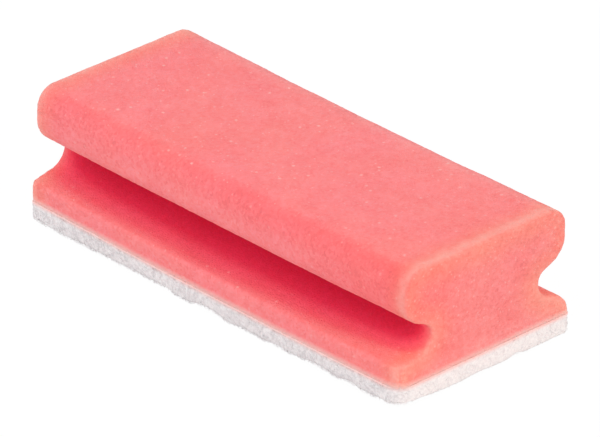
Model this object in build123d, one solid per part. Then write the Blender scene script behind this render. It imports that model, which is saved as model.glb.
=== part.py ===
from build123d import *
import os
from math import radians, tan

# Cleaning sponge with a grip profile, in millimetres: a foam block with a finger groove
# along each long side, glued to a flat scouring pad. X runs along the sponge, Y across
# it and Z up. The origin is the middle of the pad's scouring face, and the sponge is the
# same on both sides of the XZ and YZ planes.

# outline seen from above, shared by the pad, the glue and the foam's foot
length = 150.0
width = 65.0
corner_radius = 3.0

# layers under the foam
pad_thickness = 5.7
bond_thickness = 0.3

# foam profile across the sponge, from the foot up
foot_height = 6.3
foot_edge_radius = 0.8
foot_slope = 12.0  # degrees that the foot's upper side rises inwards
groove_wall_height = 6.9
groove_floor_radius = 5.8
groove_roof_radius = 3.0
neck_width = 40.6
head_width = 60.4
head_side_height = 14.2
roof_slope = 24.5  # degrees that the head's underside rises outwards
lip_radius = 7.0
shoulder_radius = 6.3

wall_use = 0.98  # share of a straight wall that its two roundings may take up


def fitted_radii(corners, radii):
    """The wanted corner radii, smaller where two roundings would meet on a short wall."""
    points = [Vector(y, z) for y, z in corners]
    walls = [b - a for a, b in zip(points, points[1:])]
    turns = [radians(a.get_angle(b)) for a, b in zip(walls, walls[1:])]
    reach = [0.0] + [r * tan(turn / 2) for r, turn in zip(radii, turns)] + [0.0]
    needed = [a + b for a, b in zip(reach, reach[1:])]
    fits = [
        min(1.0, wall_use * wall.length / need) if need else 1.0
        for wall, need in zip(walls, needed)
    ]
    return [r * min(before, after) for r, before, after in zip(radii, fits, fits[1:])]


def slab(thickness):
    """A flat layer with the sponge's outline, standing on the XY plane."""
    radius = min(corner_radius, wall_use * min(length, width) / 2)
    return extrude(RectangleRounded(length, width, radius), thickness)


def foam_profile():
    """The foam's cross-section as a face on the YZ plane, with its foot on Z = 0."""
    groove_floor = foot_height + (width - neck_width) / 2 * tan(radians(foot_slope))
    groove_roof = groove_floor + groove_wall_height
    lip = groove_roof + (head_width - neck_width) / 2 * tan(radians(roof_slope))
    top = lip + head_side_height
    right_half = [
        (0, 0),
        (width / 2, 0),
        (width / 2, foot_height),
        (neck_width / 2, groove_floor),
        (neck_width / 2, groove_roof),
        (head_width / 2, lip),
        (head_width / 2, top),
        (0, top),
    ]
    wanted = [
        0,
        foot_edge_radius,
        groove_floor_radius,
        groove_roof_radius,
        lip_radius,
        shoulder_radius,
    ]
    radii = fitted_radii(right_half, wanted)
    outline = FilletPolyline(*right_half, radius=radii)
    return Plane.YZ * make_face(outline + mirror(outline, Plane.YZ))


def foam_grip_body():
    bar = extrude(foam_profile(), length / 2, both=True)
    return bar & slab(bar.bounding_box().max.Z)


nodes = {
    "scouring_pad": slab(pad_thickness),
    "bond_layer": Pos(0, 0, pad_thickness) * slab(bond_thickness),
    "foam_grip_body": Pos(0, 0, pad_thickness + bond_thickness) * foam_grip_body(),
}

os.makedirs("parts", exist_ok=True)
for name, solid in nodes.items():
    export_step(solid, f"parts/{name}.step")
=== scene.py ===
import bisect
import bpy
import bmesh
import math
import random
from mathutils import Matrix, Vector, noise
from mathutils.kdtree import KDTree


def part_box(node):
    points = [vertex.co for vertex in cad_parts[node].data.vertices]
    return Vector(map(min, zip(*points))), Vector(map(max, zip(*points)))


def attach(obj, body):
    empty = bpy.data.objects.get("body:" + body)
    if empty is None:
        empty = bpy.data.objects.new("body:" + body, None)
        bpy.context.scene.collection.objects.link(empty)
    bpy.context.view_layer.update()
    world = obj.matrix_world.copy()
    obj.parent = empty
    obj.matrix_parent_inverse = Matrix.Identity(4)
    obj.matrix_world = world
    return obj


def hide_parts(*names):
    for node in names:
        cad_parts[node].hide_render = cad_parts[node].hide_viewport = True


# scouring sponge with a grip profile: foam block, glue line and fibre pad, in metres
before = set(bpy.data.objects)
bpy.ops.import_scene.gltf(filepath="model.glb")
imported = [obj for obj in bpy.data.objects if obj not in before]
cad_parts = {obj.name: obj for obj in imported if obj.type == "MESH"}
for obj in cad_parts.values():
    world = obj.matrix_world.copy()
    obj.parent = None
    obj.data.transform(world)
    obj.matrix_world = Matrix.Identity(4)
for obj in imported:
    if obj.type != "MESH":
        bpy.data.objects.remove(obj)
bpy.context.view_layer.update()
mm = 0.001

foamLow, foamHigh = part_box("foam_grip_body")
glueLow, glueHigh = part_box("bond_layer")
padLow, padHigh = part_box("scouring_pad")
halfLength = padHigh.x
halfWidth = padHigh.y
print("frame loaded:", ", ".join(sorted(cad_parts)))

sponge = {
    # corner radii of the pad and the glue seen from above, by their side in x and y
    "corners": {(1, -1): 5.5 * mm, (1, 1): 1.5 * mm, (-1, 1): 3.0 * mm, (-1, -1): 0.5 * mm},
    "sharpest": 0.1 * mm,
    "cornerSteps": 5,
    "endRise": 0.6 * mm,         # the ends rest a little higher than the middle
}


def cornerRadius(x, y):
    return sponge["corners"][1 if x > 0 else -1, 1 if y > 0 else -1]


# modelling tools

def startClean():
    if bpy.context.mode != "OBJECT":
        bpy.ops.object.mode_set(mode="OBJECT")
    bpy.ops.object.select_all(action="DESELECT")


def makeActive(piece):
    startClean()
    bpy.context.view_layer.objects.active = piece
    piece.select_set(True)


def addBlock(name, low, high):
    startClean()
    bpy.ops.mesh.primitive_cube_add(size=1, location=(low + high) / 2)
    block = bpy.context.active_object
    block.name = name
    block.data.name = name
    block.scale = high - low
    bpy.ops.object.transform_apply(location=True, rotation=True, scale=True)
    return block


def pick(piece, kind, wanted):
    # selects the vertices, edges or faces whose middle, and normal or direction, are wanted
    bpy.ops.mesh.select_mode(type=kind)
    bpy.ops.mesh.select_all(action="DESELECT")
    cage = bmesh.from_edit_mesh(piece.data)
    cage.normal_update()
    if kind == "FACE":
        for face in cage.faces:
            face.select_set(wanted(face.calc_center_median(), face.normal))
    elif kind == "EDGE":
        for edge in cage.edges:
            a, b = (v.co for v in edge.verts)
            edge.select_set(wanted((a + b) / 2, (b - a).normalized()))
    else:
        for vert in cage.verts:
            vert.select_set(wanted(vert.co, vert.normal))
    cage.select_flush_mode()
    bmesh.update_edit_mesh(piece.data)


def cutThrough(place, way, **settings):
    # a flat cut through the whole piece
    bpy.ops.mesh.select_all(action="SELECT")
    bpy.ops.mesh.bisect(plane_co=place, plane_no=way, **settings)


def trimBelow(piece, height):
    # cuts the piece off level and closes it again
    makeActive(piece)
    bpy.ops.object.mode_set(mode="EDIT")
    cutThrough((0, 0, height), (0, 0, 1), use_fill=True, clear_inner=True)
    bpy.ops.object.mode_set(mode="OBJECT")


def roundEdges(piece, reach, segments, wanted):
    pick(piece, "EDGE", wanted)
    bpy.ops.mesh.bevel(offset_type="OFFSET", offset=reach, segments=segments, profile=0.5,
                       affect="EDGES", clamp_overlap=True)


def near(value, target):
    return abs(value - target) < 0.05 * mm


def roundCorners(piece, shrink=0):
    # the four upright corners; shrink is how far the piece's sides lie inside the sponge's
    for sideX in (-1, 1):
        for sideY in (-1, 1):

            def isCorner(at, way):
                return (abs(way.z) > 0.9 and near(at.x * sideX, halfLength - shrink)
                        and near(at.y * sideY, halfWidth - shrink))

            radius = max(cornerRadius(sideX, sideY) - shrink, sponge["sharpest"])
            roundEdges(piece, radius, sponge["cornerSteps"], isCorner)


def useModifier(piece, kind, **settings):
    makeActive(piece)
    bpy.ops.object.modifier_add(type=kind)
    modifier = piece.modifiers[-1]
    for key, value in settings.items():
        setattr(modifier, key, value)
    bpy.ops.object.modifier_apply(modifier=modifier.name)


def roughen(piece, size, height):
    # pushes the surface in and out by a soft noise of the given size
    clouds = bpy.data.textures.new(piece.name + "Clouds", "CLOUDS")
    clouds.noise_scale = size
    useModifier(piece, "DISPLACE", texture=clouds, texture_coords="LOCAL", strength=height,
                mid_level=0.5, direction="NORMAL")
    bpy.data.textures.remove(clouds)


def smoothStep(low, high, value):
    t = min(max((value - low) / (high - low), 0), 1)
    return t * t * (3 - 2 * t)


def store(piece, name, values):
    # keeps one number for each vertex, which the material reads
    attribute = piece.data.attributes.new(name, "FLOAT", "POINT")
    attribute.data.foreach_set("value", values)


def bow(piece):
    # stores each spot's height over the pad, then lets the middle of the piece lie lower than its ends
    store(piece, "overGlue", [vert.co.z - padHigh.z for vert in piece.data.vertices])
    for vert in piece.data.vertices:
        vert.co.z += sponge["endRise"] * (vert.co.x / halfLength) ** 2


# materials

def colour(code):
    # sRGB hex to linear
    parts = [int(code[i:i + 2], 16) / 255 for i in (1, 3, 5)]
    return tuple(p / 12.92 if p <= 0.04045 else ((p + 0.055) / 1.055) ** 2.4 for p in parts) + (1,)


def addNode(tree, kind, links=None, **settings):
    # links holds socket values and the sockets that feed them
    node = tree.nodes.new("ShaderNode" + kind)
    for key, value in settings.items():
        setattr(node, key, value)
    for key, value in (links or {}).items():
        if isinstance(value, bpy.types.NodeSocket):
            tree.links.new(value, node.inputs[key])
        else:
            node.inputs[key].default_value = value
    return node


def newMaterial(name):
    material = bpy.data.materials.new(name)
    material.use_nodes = True
    tree = material.node_tree
    tree.nodes.clear()
    return material, tree


def dress(piece, material):
    piece.data.materials.clear()
    piece.data.materials.append(material)
    startClean()


# foam block

foam = {
    # sizes of the profile, seen from the end
    "neckWidth": 40.6 * mm,
    "headWidth": 60.4 * mm,
    "footHeight": 6.3 * mm,
    "footSlope": math.radians(12),
    "grooveWall": 6.9 * mm,
    "roofSlope": math.radians(24.5),
    "frontFootEdge": 0.8 * mm,
    "backFootEdge": 5.5 * mm,
    "grooveFloor": 5.8 * mm,
    "grooveRoof": 3.0 * mm,
    "lip": 7.0 * mm,
    "shoulder": 6.3 * mm,

    # how it is softened and made uneven
    "grid": 0.56 * mm,
    "softening": 3,
    "spare": 3.0 * mm,           # extra foam below, cut off after the edges are softened
    "waves": (16 * mm, 0.3 * mm),       # size and height
    "coarseCells": (1.2 * mm, 0.2 * mm),
    "corners": {(1, -1): 4.0 * mm, (1, 1): 1.5 * mm, (-1, 1): 3.0 * mm, (-1, -1): 1.0 * mm},
    "nearEndLonger": 0.3 * mm,   # the neck and the head
    "farEndLonger": 0.2 * mm,
    "farEndThicker": 0.35 * mm,  # the head at its front corner there, above and below
    "backCornerHigher": 0.3 * mm,

    # where its colour changes, with painted shade in the grooves and a painted highlight along the cut
    # edges
    "grooveShadeColours": [(0, "#FF8385"), (0.12, "#FE7A80"), (0.27, "#FA6573"), (0.53, "#F85870"),
                      (0.76, "#E13050"), (1, "#CE1639")],
    "farFade": (0.5, 6 * mm),    # how much of the grooves' painted shade goes at each end, where light comes in, and how far in
    "nearFrontFade": (0.5, 3.5 * mm),
    "nearBackFade": (0.75, 12 * mm),
    "farMouthFade": (0.2, 17 * mm),     # the same for the paler colour at their mouths, painted light
    "nearMouthFade": (0.9, 17 * mm),
    "nearEdgeHighlight": 1.6 * mm,        # the painted highlight along the cut edges lies this far from each end
    "farEdgeHighlight": 0.2 * mm,
    "edgeHighlightWidth": 2.0 * mm,
    "edgeHighlightWander": 0.7 * mm,

    # red, green and blue gains where a mark is 1
    # side is painted shade on the upright faces, nearEnd a painted warm light and glow a painted red glow
    "tints": {"side": (-0.035, -0.02, 0), "rosy": (-0.03, -0.29, -0.26), "across": (-0.01, 0.035, 0.028),
              "endFace": (-0.04, 0.05, 0.06), "nearEnd": (0, 0, -0.045), "warm": (0, 0.045, -0.12),
              "pale": (0, 0.14, 0.13), "glow": (0.42, 0.2, 0.1)},

    # cells in three kinds: size, share of all, the mark that scales them, strength and colour; the first
    # kind is painted shade in open cells, the other two painted glints
    "cells": [(0.75 * mm, 0.5, "grainAndPoreShade", 0.08, "#B9485A"), (0.8 * mm, 0.06, "paintedGlints", 0.34, "#FFCDC4"),
              (1.4 * mm, 0.035, "paintedGlints", 0.48, "#FFCDC4")],
}


def softenCorner(at, share):
    # moves a spot in a square upright corner so that squares round the corner's centre become circles
    side = (1 if at.x > 0 else -1, 1 if at.y > 0 else -1)
    radius = foam["corners"][side]
    dx = abs(at.x) - (halfLength - radius)
    dy = abs(at.y) - (halfWidth - radius)
    if dx > 0 and dy > 0:
        pull = 1 - share * (1 - max(dx, dy) / math.hypot(dx, dy))
        at.x = side[0] * (halfLength - radius + dx * pull)
        at.y = side[1] * (halfWidth - radius + dy * pull)


def foamLevels():
    # heights of the profile's corners, from the foot up
    neck = foam["neckWidth"] / 2
    head = foam["headWidth"] / 2
    footTop = foamLow.z + foam["footHeight"]
    floor = footTop + (halfWidth - neck) * math.tan(foam["footSlope"])
    roof = floor + foam["grooveWall"]
    lip = roof + (head - neck) * math.tan(foam["roofSlope"])
    return footTop, floor, roof, lip


def makeProfile():
    # a block as wide as the neck, drawn out sideways to the foot and the head
    neck = foam["neckWidth"] / 2
    head = foam["headWidth"] / 2
    footTop, floor, roof, lip = foamLevels()
    bottom = foamLow.z - foam["spare"]
    piece = addBlock("foam_block", Vector((-halfLength, -neck, bottom)),
                     Vector((halfLength, neck, foamHigh.z)))
    bpy.ops.object.mode_set(mode="EDIT")
    cutThrough((0, 0, floor), (0, 0, 1))
    cutThrough((0, 0, roof), (0, 0, 1))
    for low, high, reach in ((bottom, floor, halfWidth), (roof, foamHigh.z, head)):
        pick(piece, "FACE", lambda at, way: abs(way.y) > 0.9 and low < at.z < high)
        bpy.ops.mesh.extrude_region_move(TRANSFORM_OT_translate={"value": (0, 0, 0)})
        bpy.ops.transform.resize(value=(1, reach / neck, 1), center_override=(0, 0, 0))
    pick(piece, "VERT", lambda at, way: near(abs(at.y), head) and near(at.z, roof))
    bpy.ops.transform.translate(value=(0, 0, lip - roof))
    pick(piece, "VERT", lambda at, way: near(abs(at.y), halfWidth) and near(at.z, floor))
    bpy.ops.transform.translate(value=(0, 0, footTop - floor))

    def along(y, z, sides=(-1, 1)):
        return lambda at, way: abs(way.x) > 0.9 and any(near(at.y, s * y) for s in sides) and near(at.z, z)

    # a rounding's reach per radius, for an edge between upright and sloping faces
    roofReach = math.tan((math.pi / 2 - foam["roofSlope"]) / 2)
    floorReach = math.tan((math.pi / 2 - foam["footSlope"]) / 2)
    footReach = math.tan((math.pi / 2 + foam["footSlope"]) / 2)
    roundEdges(piece, foam["shoulder"], 12, along(head, foamHigh.z))
    roundEdges(piece, foam["lip"] * roofReach, 12, along(head, lip))
    roundEdges(piece, foam["grooveRoof"] * roofReach, 8, along(neck, roof))
    roundEdges(piece, foam["grooveFloor"] * floorReach, 10, along(neck, floor))
    roundEdges(piece, foam["frontFootEdge"] * footReach, 3, along(halfWidth, footTop, (-1,)))
    roundEdges(piece, foam["backFootEdge"] * footReach, 6, along(halfWidth, footTop, (1,)))
    bpy.ops.object.mode_set(mode="OBJECT")
    return piece


def shapeEnds(piece):
    # the ends and the corners differ a little, as on any sponge sawn from a long bar
    footTop, _, roof, lip = foamLevels()
    headMiddle = (lip + foamHigh.z) / 2
    for vert in piece.data.vertices:
        at = vert.co
        aboveFoot = smoothStep(footTop, roof, at.z)
        inHead = smoothStep(roof - 3 * mm, roof + 2 * mm, at.z)
        softenCorner(at, 1 - aboveFoot)
        towardsFarEnd = smoothStep(0, halfLength, -at.x)
        towardsNearEnd = smoothStep(0, halfLength, at.x)
        towardsFront = smoothStep(-halfWidth, halfWidth, -at.y)
        thicker = foam["farEndThicker"] * (at.z - headMiddle) / (foamHigh.z - headMiddle)
        at.z += thicker * towardsFarEnd * towardsFront * inHead
        at.z += foam["backCornerHigher"] * towardsFarEnd * (1 - towardsFront) * inHead
        at.x -= foam["farEndLonger"] * towardsFarEnd
        at.x += foam["nearEndLonger"] * towardsNearEnd * aboveFoot


def makeFoam():
    piece = makeProfile()
    useModifier(piece, "REMESH", mode="VOXEL", voxel_size=foam["grid"])
    useModifier(piece, "SMOOTH", factor=0.5, iterations=foam["softening"])
    trimBelow(piece, foamLow.z)
    shapeEnds(piece)
    roughen(piece, *foam["waves"])
    roughen(piece, *foam["coarseCells"])
    return piece


def grooveDepth(at):
    # 0 outside the finger grooves and 1 at the neck
    neck = foam["neckWidth"] / 2
    middle = foamLow.z + foam["footHeight"] + foam["grooveWall"]
    mouth = halfWidth if at.z < middle else foam["headWidth"] / 2
    if not foamLow.z + foam["footHeight"] / 2 < at.z < foamHigh.z - foam["shoulder"]:
        return 0
    return min(max((mouth - abs(at.y)) / (mouth - neck), 0), 1)


def grooveShade(at, way):
    # how much of the groove's painted shade a spot has: all of it at the neck, less under the head and at
    # the ends
    fromEnd = max(halfLength - abs(at.x), 0)
    deep = grooveDepth(at) if abs(way.x) < 0.8 else 0
    deep += smoothStep(0.2, 0.7, -way.z) * (max(0, 2 * deep - 1) - deep)
    if at.x < 0:
        share, reach = foam["farFade"]
    elif at.y < 0:
        share, reach = foam["nearFrontFade"]
    else:
        share, reach = foam["nearBackFade"]
    deep *= 1 - share * math.exp(-fromEnd / reach)
    share, reach = foam["nearMouthFade"] if at.x > 0 else foam["farMouthFade"]
    return max(deep - share * (1 - deep) * math.exp(-fromEnd / reach), 0)


def facesEnd(way):
    return smoothStep(0.6, 0.9, abs(way.x))


def markFoam(piece):
    # how much of each colour change a spot takes, for the material to read
    bottom = foamLow.z + foam["footHeight"] / 2
    headTop = foamHigh.z - foam["shoulder"]
    marks = {}
    for vert in piece.data.vertices:
        at, way = vert.co, vert.normal
        fromEnd = max(halfLength - abs(at.x), 0)
        towardsNear = (at.x + halfLength) / (2 * halfLength)
        towardsBack = at.y / halfWidth
        faceUp = max(way.z, 0)
        side = smoothStep(0.4, 0.9, abs(way.y))
        deep = grooveShade(at, way)

        # deeper pink on the shoulders, and on the head's side near the end
        shoulder = smoothStep(0.05, 0.6, abs(way.y)) * smoothStep(headTop - 4 * mm, headTop + 2 * mm, at.z)
        shoulder *= 0.45 + 0.55 * towardsNear ** 2
        headSide = side * smoothStep(bottom + 9 * mm, bottom + 15 * mm, at.z)
        headSide *= smoothStep(halfLength - 60 * mm, halfLength - 5 * mm, at.x)

        # the top is a little paler towards the back, most of all in the last few millimetres
        across = smoothStep(0.3, 0.8, towardsBack) - smoothStep(0.3, 0.8, -towardsBack)
        across += 6 * smoothStep(0.62, 0.85, towardsBack)

        spot = {
            "groove": deep,
            # grain, with painted shade in the open cells
            "grainAndPoreShade": (1 - 0.5 * deep) * (1 + 0.4 * side) * (1 - 0.2 * faceUp),
            "mottled": (1 - 0.65 * deep) * (1 - 0.45 * side) * (1 + 0.05 * abs(way.x)),
            # painted glints on cell skins
            "paintedGlints": max(1 - 1.5 * deep, 0.1) * (1 - 0.6 * side) * (1 - 0.2 * abs(way.x)),
            # painted shade on the upright faces
            "side": side,
            "rosy": max(shoulder, 0.9 * headSide),
            "across": across * smoothStep(0.3, 0.8, way.z) * (at.z > headTop),
            "endFace": facesEnd(way) * (2 * smoothStep(-halfWidth, 0, at.y) - 1),
            # painted warm light towards the near end
            "nearEnd": smoothStep(halfLength - 35 * mm, halfLength, at.x),
            # painted light: a red glow deep in the grooves near the ends
            "glow": (deep * max(1 - fromEnd / (9 * mm), 0)) ** 2,
        }
        spot["paintedGlints"] *= 1 - 0.4 * smoothStep(0.5, 0.9, towardsNear) * faceUp
        for name, value in spot.items():
            marks.setdefault(name, []).append(value)
    for name, values in marks.items():
        store(piece, name, values)


def markEdge(piece):
    # how far a spot belongs to the painted highlight along the cut edges around both ends, to the warmer
    # border beside them, and to the paler part low on each end
    profile = [v.co for v in piece.data.vertices if abs(v.co.x) < 2 * mm and v.co.z > foamLow.z + mm]
    nearby = KDTree(len(profile))
    for i, at in enumerate(profile):
        nearby.insert((0, at.y, at.z), i)
    nearby.balance()
    edge = []
    warm = []
    pale = []
    for vert in piece.data.vertices:
        at = vert.co
        beside, _, fromSide = nearby.find((0, at.y, at.z))
        fromEnd = halfLength - abs(at.x)
        inGroove = smoothStep(0, 0.4, grooveDepth(beside))
        line = foam["nearEdgeHighlight"] * (1 - 1.3 * inGroove) if at.x > 0 else foam["farEdgeHighlight"]
        line += foam["edgeHighlightWander"] * noise.noise(at / (4 * mm))
        offLine = (fromEnd - fromSide - line) / foam["edgeHighlightWidth"]
        border = 1 - smoothStep(1 * mm, 10 * mm, max(fromSide, fromEnd))
        low = 1 - smoothStep(2.5 * mm, 6.5 * mm, at.z - foamLow.z)
        lowBorder = border * (1 - smoothStep(14 * mm, 28 * mm, at.z))
        # painted highlight along the cut edges, weaker in the grooves
        edge.append((1 - 0.5 * inGroove) * math.exp(-offLine ** 2))
        warm.append(border)
        pale.append(facesEnd(vert.normal) * (max(low, lowBorder) + 1.3 * min(low, lowBorder)))
    store(piece, "edge", edge)
    store(piece, "warm", warm)
    store(piece, "pale", pale)


def foamMaterial():
    # flexible polyurethane foam, dyed through and wire-cut: dull, fine-celled, light soaks into it
    material, tree = newMaterial("cutPolyurethaneFoam")
    place = addNode(tree, "TexCoord").outputs["Object"]

    marks = {}
    for name in ("groove", "grainAndPoreShade", "mottled", "paintedGlints", "edge", "overGlue", *foam["tints"]):
        marks[name] = addNode(tree, "Attribute", attribute_name=name).outputs["Fac"]

    def vary(under, amount, gain):
        # multiplies the colour by 1 + amount x gain, channel by channel
        factor = addNode(tree, "VectorMath", {0: amount, 1: gain, 2: (1, 1, 1)}, operation="MULTIPLY_ADD")
        result = addNode(tree, "VectorMath", {0: under, 1: factor.outputs["Vector"]}, operation="MULTIPLY")
        return result.outputs["Vector"]

    # painted shade: the grooves are coloured deeper crimson for the light that bounces between their pink
    # walls and comes out crimson
    depth = addNode(tree, "ValToRGB", {"Fac": marks["groove"]})
    stops = depth.color_ramp.elements
    stops[0].color = colour(foam["grooveShadeColours"][0][1])
    stops[1].color = colour(foam["grooveShadeColours"][-1][1])
    for position, code in foam["grooveShadeColours"][1:-1]:
        stops.new(position).color = colour(code)
    base = depth.outputs["Color"]

    # painted light and shade among the tints: the upright sides are darkened, the foam is warmed towards
    # the near end as by a warm lamp, and a red glow is painted where light comes through the thin ends of
    # the grooves
    for name, gain in foam["tints"].items():
        base = vary(base, marks[name], gain)

    # mottling from 10 mm down to single cells changes how pale the pink is more than how bright
    mottle = addNode(tree, "TexNoise", {"Vector": place, "Scale": 1 / (9 * mm), "Detail": 6.0,
                                        "Roughness": 0.9}).outputs["Fac"]
    spread = addNode(tree, "MapRange", {0: mottle, "From Min": 0.3, "From Max": 0.7, "To Min": -0.5,
                                        "To Max": 0.5}).outputs["Result"]
    spread = addNode(tree, "Math", {0: spread, 1: marks["mottled"]}, operation="MULTIPLY").outputs["Value"]
    base = vary(base, spread, (0.12, 0.35, 0.32))
    hue = addNode(tree, "TexNoise", {"Vector": place, "Scale": 1 / (18 * mm),
                                     "Detail": 2.0}).outputs["Color"]
    hue = addNode(tree, "VectorMath", {0: hue, 1: (0.5, 0.5, 0.5)}, operation="SUBTRACT").outputs["Vector"]
    base = vary(base, hue, (0, 0.08, 0.12))

    # cells, drawn coarser than the real ones: half are open and painted darker, as painted shade in the
    # pores, and here and there one has a skin with a painted glint
    for size, share, amount, strength, code in foam["cells"]:
        cell = addNode(tree, "TexVoronoi", {"Vector": place, "Scale": 1 / size})
        inside = addNode(tree, "MapRange", {0: cell.outputs["Distance"], "From Min": 0.45,
                                            "From Max": 0.15, "To Max": strength})
        kind = addNode(tree, "SeparateColor", {0: cell.outputs["Color"]}).outputs["Red"]
        chosen = addNode(tree, "Math", {0: kind, 1: share}, operation="LESS_THAN").outputs["Value"]
        chosen = addNode(tree, "Math", {0: chosen, 1: inside.outputs["Result"]}, operation="MULTIPLY")
        chosen = addNode(tree, "Math", {0: chosen.outputs["Value"], 1: marks[amount]}, operation="MULTIPLY")
        base = addNode(tree, "Mix", {0: chosen.outputs["Value"], 6: base, 7: colour(code)},
                       data_type="RGBA").outputs[2]
    fine = addNode(tree, "TexVoronoi", {"Vector": place, "Scale": 1 / (0.8 * mm)}).outputs["Color"]
    fine = addNode(tree, "SeparateColor", {0: fine}).outputs["Green"]
    fine = addNode(tree, "Math", {0: fine, 1: marks["grainAndPoreShade"]}, operation="MULTIPLY").outputs["Value"]
    base = vary(base, fine, (0.14, 0.24, 0.24))

    # the cut edges carry an uneven, pale painted highlight; the foam just over the glue is paler, partly
    # its own tone there and partly painted light against the shade at the join
    raggedHighlight = addNode(tree, "MapRange", {0: mottle, "From Min": 0.35, "From Max": 0.6, "To Min": 0.3,
                                        "To Max": 0.7}).outputs["Result"]
    raggedHighlight = addNode(tree, "Math", {0: raggedHighlight, 1: marks["edge"]}, operation="MULTIPLY").outputs["Value"]
    base = addNode(tree, "Mix", {0: raggedHighlight, 6: base, 7: colour("#FFB0A6")}, data_type="RGBA").outputs[2]
    rim = addNode(tree, "MapRange", {0: marks["overGlue"], "From Min": 2.2 * mm, "From Max": 0.1 * mm,
                                     "To Max": 0.9}).outputs["Result"]
    base = addNode(tree, "Mix", {0: rim, 6: base, 7: colour("#FDD4CE")}, data_type="RGBA").outputs[2]
    base = vary(base, marks["pale"], (0.03, 0.01, 0.01))  # over the painted edge highlight too

    grain = addNode(tree, "TexVoronoi", {"Vector": place, "Scale": 1 / (0.5 * mm)})
    bump = addNode(tree, "Bump", {"Height": grain.outputs["Distance"], "Strength": 1.0,
                                  "Distance": 0.2 * mm})
    shader = addNode(tree, "BsdfPrincipled", {"Base Color": base, "Roughness": 0.92,
                                              "Normal": bump.outputs["Normal"]})
    shader.inputs["IOR"].default_value = 1.45
    shader.inputs["Specular IOR Level"].default_value = 0.2
    shader.inputs["Subsurface Weight"].default_value = 0.4
    shader.inputs["Subsurface Radius"].default_value = (0.8, 0.4, 0.35)
    shader.inputs["Subsurface Scale"].default_value = 2 * mm
    addNode(tree, "OutputMaterial", {"Surface": shader.outputs["BSDF"]})
    return material


foamPiece = makeFoam()
markFoam(foamPiece)
markEdge(foamPiece)
bow(foamPiece)
makeActive(foamPiece)
bpy.ops.object.shade_smooth()
bpy.ops.object.mode_set(mode="EDIT")
pick(foamPiece, "FACE", lambda at, way: way.z < -0.9 and at.z < foamLow.z + mm)
bpy.ops.mesh.faces_shade_flat()  # the edge between the cut underside and the sides stays crisp
bpy.ops.object.mode_set(mode="OBJECT")
dress(foamPiece, foamMaterial())
print("foam:", len(foamPiece.data.polygons), "faces")
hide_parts("foam_grip_body")
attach(foamPiece, "root")


# glue line between foam and pad

glue = {
    "swell": 0.1 * mm,
    "proud": 0.12 * mm,          # stands a little out of the foam and the pad
    "spans": 20,
    "colours": ("#FFCCC8", "#FFDCD9"),
}


def makeGlue():
    grow = Vector((glue["proud"], glue["proud"], glue["swell"]))
    piece = addBlock("glue_line", glueLow - grow, glueHigh + grow)
    bpy.ops.object.mode_set(mode="EDIT")
    roundCorners(piece, -glue["proud"])
    for i in range(1, glue["spans"]):
        cutThrough(((2 * i / glue["spans"] - 1) * halfLength, 0, 0), (1, 0, 0))
    bpy.ops.object.mode_set(mode="OBJECT")
    return piece


def glueMaterial():
    # hot-melt adhesive film soaked into foam and fibre: milky, pale, slightly waxy
    material, tree = newMaterial("milkyHotMelt")
    place = addNode(tree, "TexCoord").outputs["Object"]
    patch = addNode(tree, "TexNoise", {"Vector": place, "Scale": 1 / (1.2 * mm), "Detail": 2.0})
    tint = addNode(tree, "ValToRGB", {"Fac": patch.outputs["Fac"]})
    for stop, position, code in zip(tint.color_ramp.elements, (0.35, 0.6), glue["colours"]):
        stop.position = position
        stop.color = colour(code)
    shader = addNode(tree, "BsdfPrincipled", {"Base Color": tint.outputs["Color"], "Roughness": 0.6})
    addNode(tree, "OutputMaterial", {"Surface": shader.outputs["BSDF"]})
    return material


gluePiece = makeGlue()
bow(gluePiece)
dress(gluePiece, glueMaterial())
print("glue line:", len(gluePiece.data.polygons), "faces")
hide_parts("bond_layer")
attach(gluePiece, "root")


# scouring pad

web = {
    "coreInset": 0.02 * mm,
    "coreLift": 0.3 * mm,
    "grid": 0.7 * mm,
    "lumpSize": 9 * mm,
    "lumpHeight": 0.7 * mm,
    "frontLift": 0.4 * mm,        # more at the front than at the back
    # places where the lower edge stands clear of the floor or sags to it: x, y, reach and height in mm
    "rises": [(-67, -32, 8, -0.5), (-19, -32, 4, 0.5), (-12, -32, 4, -1.2), (-2, -32, 7, 0.8),
              (7, -32, 3, -0.8), (21, -32, 3, -0.5), (41, -32, 5, 0.7), (50, -32, 2, -0.6),
              (56, -32, 2, 0.7), (75, -32, 8, 0.2), (75, -12, 5, -1.1), (75, 7, 4, -0.6),
              (75, 12, 4, 0.5), (75, 18, 4, -0.9), (75, 28, 3, -0.7)],
    "fibreWidth": 0.12 * mm,      # real ones are about 0.05 mm, drawn coarser so that they show
    "shortest": 5 * mm,
    "longest": 14 * mm,
    "step": 1.0 * mm,
    "crimpLength": 3.2 * mm,
    "crimpDepth": 0.35 * mm,
    "curl": 20,                   # largest turn along a face fibre, in radians per metre
    "slant": 1.4,                 # steepest slant of an edge fibre, in radians
    "faceLayer": 1.2 * mm,
    "proud": 0.12 * mm,           # how far edge fibres stand out of the cut edge
    "overlap": 0.5 * mm,          # how far they reach up over the glue and the foam
    "edgeLayer": 0.15 * mm,
    "edgeShade": 0.062,
    "coreRelief": (1.6 * mm, 0.15 * mm),     # size and height
    "faceFibres": 2100,           # in each of two batches
    "longEdgeFibres": 1200,
    "endFibres": 110,
    "seed": 11,
    "coreColours": ("#ECE7EA", "#FDFAFB"),
    "fibreColours": ("#F4EFF2", "#FDFAFB"),
}
padThickness = padHigh.z - padLow.z


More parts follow.
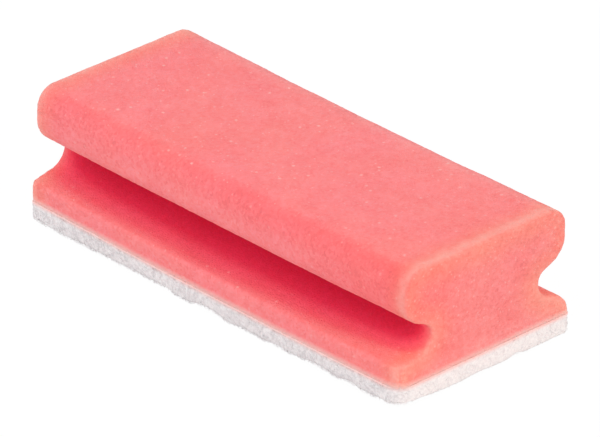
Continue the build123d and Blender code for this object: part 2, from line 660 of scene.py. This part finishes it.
def underside(x, y):
    # height of the web's uneven lower face
    broad = noise.noise(Vector((x, y, 0)) / web["lumpSize"])
    small = noise.noise(Vector((y, x, 5 * mm)) / (0.3 * web["lumpSize"]))
    lumps = max(0, 0.3 + broad + 0.2 * small) * web["lumpHeight"]
    front = web["frontLift"] * smoothStep(0, halfWidth, -y) * smoothStep(0, 25 * mm, x + halfLength)
    clear = 0
    for atX, atY, reach, height in web["rises"]:
        away = math.hypot(x / mm - atX, y / mm - atY) / reach
        clear += height * mm * math.exp(-away * away)
    return padLow.z + max(lumps + front + clear, 0)


def makeCore():
    inset = Vector((web["coreInset"], web["coreInset"], 0))
    piece = addBlock("web_core", padLow + inset, padHigh - inset)
    bpy.ops.object.mode_set(mode="EDIT")
    roundCorners(piece, web["coreInset"])
    bpy.ops.object.mode_set(mode="OBJECT")
    useModifier(piece, "REMESH", mode="VOXEL", voxel_size=web["grid"])
    for vert in piece.data.vertices:
        share = 1 - vert.co.z / padThickness
        vert.co.z += share * (underside(vert.co.x, vert.co.y) + web["coreLift"])
    roughen(piece, *web["coreRelief"])
    return piece


def makeRim():
    # the sponge's outline seen from above: places, outward directions and the way walked to each
    places = []
    for turn, (sideX, sideY) in enumerate(((1, 1), (-1, 1), (-1, -1), (1, -1))):
        r = cornerRadius(sideX, sideY)
        centre = Vector((sideX * (halfLength - r), sideY * (halfWidth - r), 0))
        for i in range(7):
            angle = math.pi / 2 * (turn + i / 6)
            out = Vector((math.cos(angle), math.sin(angle), 0))
            places.append((centre + out * r, out))
    places.append(places[0])
    walked = [0]
    for (a, _), (b, _) in zip(places, places[1:]):
        walked.append(walked[-1] + (b - a).length)
    return places, walked


rimPlaces, rimWalked = makeRim()


def rimAt(distance):
    # the spot after walking that far round the outline, and which way is out
    distance %= rimWalked[-1]
    i = bisect.bisect_right(rimWalked, distance) - 1
    share = (distance - rimWalked[i]) / (rimWalked[i + 1] - rimWalked[i])
    (a, outA), (b, outB) = rimPlaces[i], rimPlaces[i + 1]
    return a.lerp(b, share), outA.lerp(outB, share).normalized()


def insideOutline(x, y):
    r = cornerRadius(x, y)
    dx = abs(x) - (halfLength - r)
    dy = abs(y) - (halfWidth - r)
    if dx > 0 and dy > 0:
        return dx * dx + dy * dy < r * r
    return dx < r and dy < r


def crimp(dice):
    # a fibre's sideways wave: a function of the way along it
    length = web["crimpLength"] * dice.uniform(0.7, 1.4)
    depth = web["crimpDepth"] * dice.uniform(0.4, 1.5)
    start = dice.uniform(0, 2 * math.pi)
    return lambda run: depth * math.sin(2 * math.pi * run / length + start)


def faceFibre(dice):
    # lies along the lower face in any direction, cut off at the pad's edge
    x = dice.uniform(-halfLength, halfLength)
    y = dice.uniform(-halfWidth, halfWidth)
    way = dice.uniform(0, 2 * math.pi)
    curl = dice.uniform(-web["curl"], web["curl"])
    height = dice.uniform(0, web["faceLayer"])
    sideWave = crimp(dice)
    upWave = crimp(dice)
    length = dice.uniform(web["shortest"], web["longest"])
    points = []
    run = 0
    while run < length:
        px = x - math.sin(way) * sideWave(run)
        py = y + math.cos(way) * sideWave(run)
        if not insideOutline(px, py):
            break
        lift = max(height + 0.6 * upWave(run), 0) + web["fibreWidth"] / 2
        points.append((px, py, underside(px, py) + lift))
        x += math.cos(way) * web["step"]
        y += math.sin(way) * web["step"]
        way += curl * web["step"]
        run += web["step"]
    return points


def edgeFibre(dice, wanted):
    # lies in the cut edge at any slant, where wanted says yes to the outward direction
    start = dice.uniform(0, rimWalked[-1])
    if not wanted(rimAt(start)[1]):
        return []
    height = dice.uniform(0, padThickness)
    slant = dice.uniform(-web["slant"], web["slant"])
    inset = dice.uniform(-web["proud"], web["edgeLayer"])
    wave = crimp(dice)
    inWave = crimp(dice)
    length = dice.uniform(0.5, 1) * web["shortest"]
    points = []
    run = 0
    while run < length:
        walked = start + run * math.cos(slant) - wave(run) * math.sin(slant)
        z = height + run * math.sin(slant) + wave(run) * math.cos(slant)
        at, out = rimAt(walked)
        at = at - out * max(inset + 0.5 * inWave(run), -web["proud"])
        lowest = underside(at.x, at.y) + web["fibreWidth"] / 2
        if not lowest - 0.3 * mm < z < padThickness + web["overlap"]:
            break
        points.append((at.x, at.y, max(z, lowest)))
        run += web["step"] / 2
    return points


def makeFibres(name, count, seed, fibre):
    dice = random.Random(seed)
    startClean()
    curve = bpy.data.curves.new(name, "CURVE")
    curve.dimensions = "3D"
    curve.bevel_depth = web["fibreWidth"] / 2
    curve.bevel_resolution = 0
    curve.use_fill_caps = True
    made = 0
    while made < count:
        points = fibre(dice)
        if len(points) < 3:
            continue
        spline = curve.splines.new("POLY")
        spline.points.add(len(points) - 1)
        for point, at in zip(spline.points, points):
            point.co = (*at, 1)
        made += 1
    piece = bpy.data.objects.new(name, curve)
    bpy.context.collection.objects.link(piece)
    makeActive(piece)
    bpy.ops.object.convert(target="MESH")
    return bpy.context.active_object


def webMaterial(name, colours):
    # lofty scouring web: crimped nylon fibres stuck at their crossings by clear resin, white and
    # faintly glossy
    material, tree = newMaterial(name)
    place = addNode(tree, "TexCoord").outputs["Object"]
    overGlue = addNode(tree, "Attribute", attribute_name="overGlue").outputs["Fac"]
    patch = addNode(tree, "TexNoise", {"Vector": place, "Scale": 1 / (0.8 * mm), "Detail": 3.0,
                                       "Roughness": 0.8})
    tint = addNode(tree, "ValToRGB", {"Fac": patch.outputs["Fac"]})
    for stop, position, code in zip(tint.color_ramp.elements, (0.35, 0.62), colours):
        stop.position = position
        stop.color = colour(code)
    # the top millimetre, next to the glue, is pinker
    blush = addNode(tree, "MapRange", {"Value": overGlue, "From Min": -1.2 * mm, "From Max": -0.1 * mm,
                                       "To Max": 0.55})
    mix = addNode(tree, "Mix", {0: blush.outputs["Result"], 6: tint.outputs["Color"], 7: colour("#FFCFCC")},
                  data_type="RGBA")
    # painted shade: the long edges are darkened, more than the ends
    across = addNode(tree, "SeparateXYZ", {"Vector": place}).outputs["Y"]
    across = addNode(tree, "Math", {0: across}, operation="ABSOLUTE").outputs["Value"]
    shade = addNode(tree, "MapRange", {"Value": across, "From Min": halfWidth - 1.5 * mm,
                                       "From Max": halfWidth - 0.5 * mm, "To Max": web["edgeShade"]})
    mix = addNode(tree, "Mix", {0: shade.outputs["Result"], 6: mix.outputs[2], 7: colour("#000000")},
                  data_type="RGBA")
    shader = addNode(tree, "BsdfPrincipled", {"Base Color": mix.outputs[2], "Roughness": 0.55})
    shader.inputs["Sheen Weight"].default_value = 0.4
    shader.inputs["Sheen Roughness"].default_value = 0.5
    addNode(tree, "OutputMaterial", {"Surface": shader.outputs["BSDF"]})
    return material


corePiece = makeCore()
bow(corePiece)
makeActive(corePiece)
bpy.ops.object.shade_smooth()
dress(corePiece, webMaterial("webInside", web["coreColours"]))
print("pad core:", len(corePiece.data.polygons), "faces")
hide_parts("scouring_pad")
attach(corePiece, "root")

def edgeBatch(way):
    # a maker of fibres for the cut edge that looks that way
    return lambda dice: edgeFibre(dice, lambda out: out.dot(Vector(way)) > 0.7)


fibreFinish = webMaterial("whiteScouringFibre", web["fibreColours"])
batches = [
    ("web_fibres_face_1", web["faceFibres"], faceFibre),
    ("web_fibres_face_2", web["faceFibres"], faceFibre),
    ("web_fibres_front", web["longEdgeFibres"], edgeBatch((0, -1, 0))),
    ("web_fibres_back", web["longEdgeFibres"], edgeBatch((0, 1, 0))),
    ("web_fibres_right", web["endFibres"], edgeBatch((1, 0, 0))),
    ("web_fibres_left", web["endFibres"], edgeBatch((-1, 0, 0))),
]
for i, (name, count, fibre) in enumerate(batches):
    piece = makeFibres(name, count, web["seed"] + i, fibre)
    bow(piece)
    bpy.ops.object.shade_smooth()
    dress(piece, fibreFinish)
    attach(piece, "root")
    print(name + ":", len(piece.data.polygons), "faces")


# floor, light and camera

studio = {
    "azimuth": 46.938,
    "elevation": 28.127,
    "distance": 2.0,
    "lens": 431.9,
    "aim": Vector((1.05, 0.15, 18.75)) * mm,
    "clipEnd": 50,
    "sky": 0.81,
    "floorSize": 8,
    "floorBounce": 0.85,
    "floorWhite": 1.02,
    "floorGlow": 0.95,            # share of the plain white; the rest keeps the shadow
    # name, place, size in metres, watts and colour
    "lamps": [("topSoftbox", (0.05, -1.09, 0.91), 1.0, 4.1, "#FFFFFF"),
              ("endSoftbox", (1.25, 0.07, 0.72), 0.8, 4.25, "#FFECD2")],
}


def whereSeen(tree):
    # 1 for what the camera sees, straight or through gloss or glass
    path = addNode(tree, "LightPath")
    seen = addNode(tree, "Math", {0: path.outputs["Is Camera Ray"], 1: path.outputs["Is Glossy Ray"]},
                   operation="MAXIMUM")
    return addNode(tree, "Math", {0: seen.outputs["Value"], 1: path.outputs["Is Transmission Ray"]},
                   operation="MAXIMUM").outputs["Value"]


def makeCamera():
    turn, lift = (math.radians(studio[k]) for k in ("azimuth", "elevation"))
    back = Vector((math.sin(turn) * math.cos(lift), -math.cos(turn) * math.cos(lift), math.sin(lift)))
    startClean()
    bpy.ops.object.camera_add(location=studio["aim"] + back * studio["distance"])
    camera = bpy.context.active_object
    camera.rotation_euler = back.to_track_quat("Z", "Y").to_euler()
    camera.data.lens = studio["lens"]
    camera.data.clip_end = studio["clipEnd"]
    bpy.context.scene.camera = camera


def addSoftbox(name, place, size, watts, code):
    startClean()
    bpy.ops.object.light_add(type="AREA", location=place)
    lamp = bpy.context.active_object
    lamp.name = name
    lamp.data.shape = "SQUARE"
    lamp.data.size = size
    lamp.data.energy = watts
    lamp.data.color = colour(code)[:3]
    lamp.rotation_euler = (Vector(place) - studio["aim"]).to_track_quat("Z", "Y").to_euler()


def makeWorld():
    world = bpy.data.worlds.new("lightTent")
    world.use_nodes = True
    tree = world.node_tree
    tree.nodes.clear()
    soft = addNode(tree, "Background", {"Color": (1, 1, 1, 1), "Strength": studio["sky"]})
    white = addNode(tree, "Background", {"Color": (1, 1, 1, 1), "Strength": 1.0})
    mix = addNode(tree, "MixShader", {0: whereSeen(tree), 1: soft.outputs["Background"],
                                      2: white.outputs["Background"]})
    addNode(tree, "OutputWorld", {"Surface": mix.outputs["Shader"]})
    bpy.context.scene.world = world


def makeFloor():
    startClean()
    bpy.ops.mesh.primitive_plane_add(size=studio["floorSize"])
    piece = bpy.context.active_object
    piece.name = "studio_floor"
    material, tree = newMaterial("whitePaperSweep")
    glow = addNode(tree, "Math", {0: whereSeen(tree), 1: studio["floorGlow"]}, operation="MULTIPLY")
    bounce = studio["floorBounce"]
    paper = addNode(tree, "BsdfDiffuse", {"Color": (bounce, bounce, bounce, 1)})
    white = addNode(tree, "Emission", {"Strength": studio["floorWhite"]})
    mix = addNode(tree, "MixShader", {0: glow.outputs["Value"], 1: paper.outputs["BSDF"],
                                      2: white.outputs["Emission"]})
    addNode(tree, "OutputMaterial", {"Surface": mix.outputs["Shader"]})
    dress(piece, material)


makeCamera()
makeWorld()
makeFloor()
for lamp in studio["lamps"]:
    addSoftbox(*lamp)
bpy.context.scene.view_settings.view_transform = "Standard"
print("studio ready")
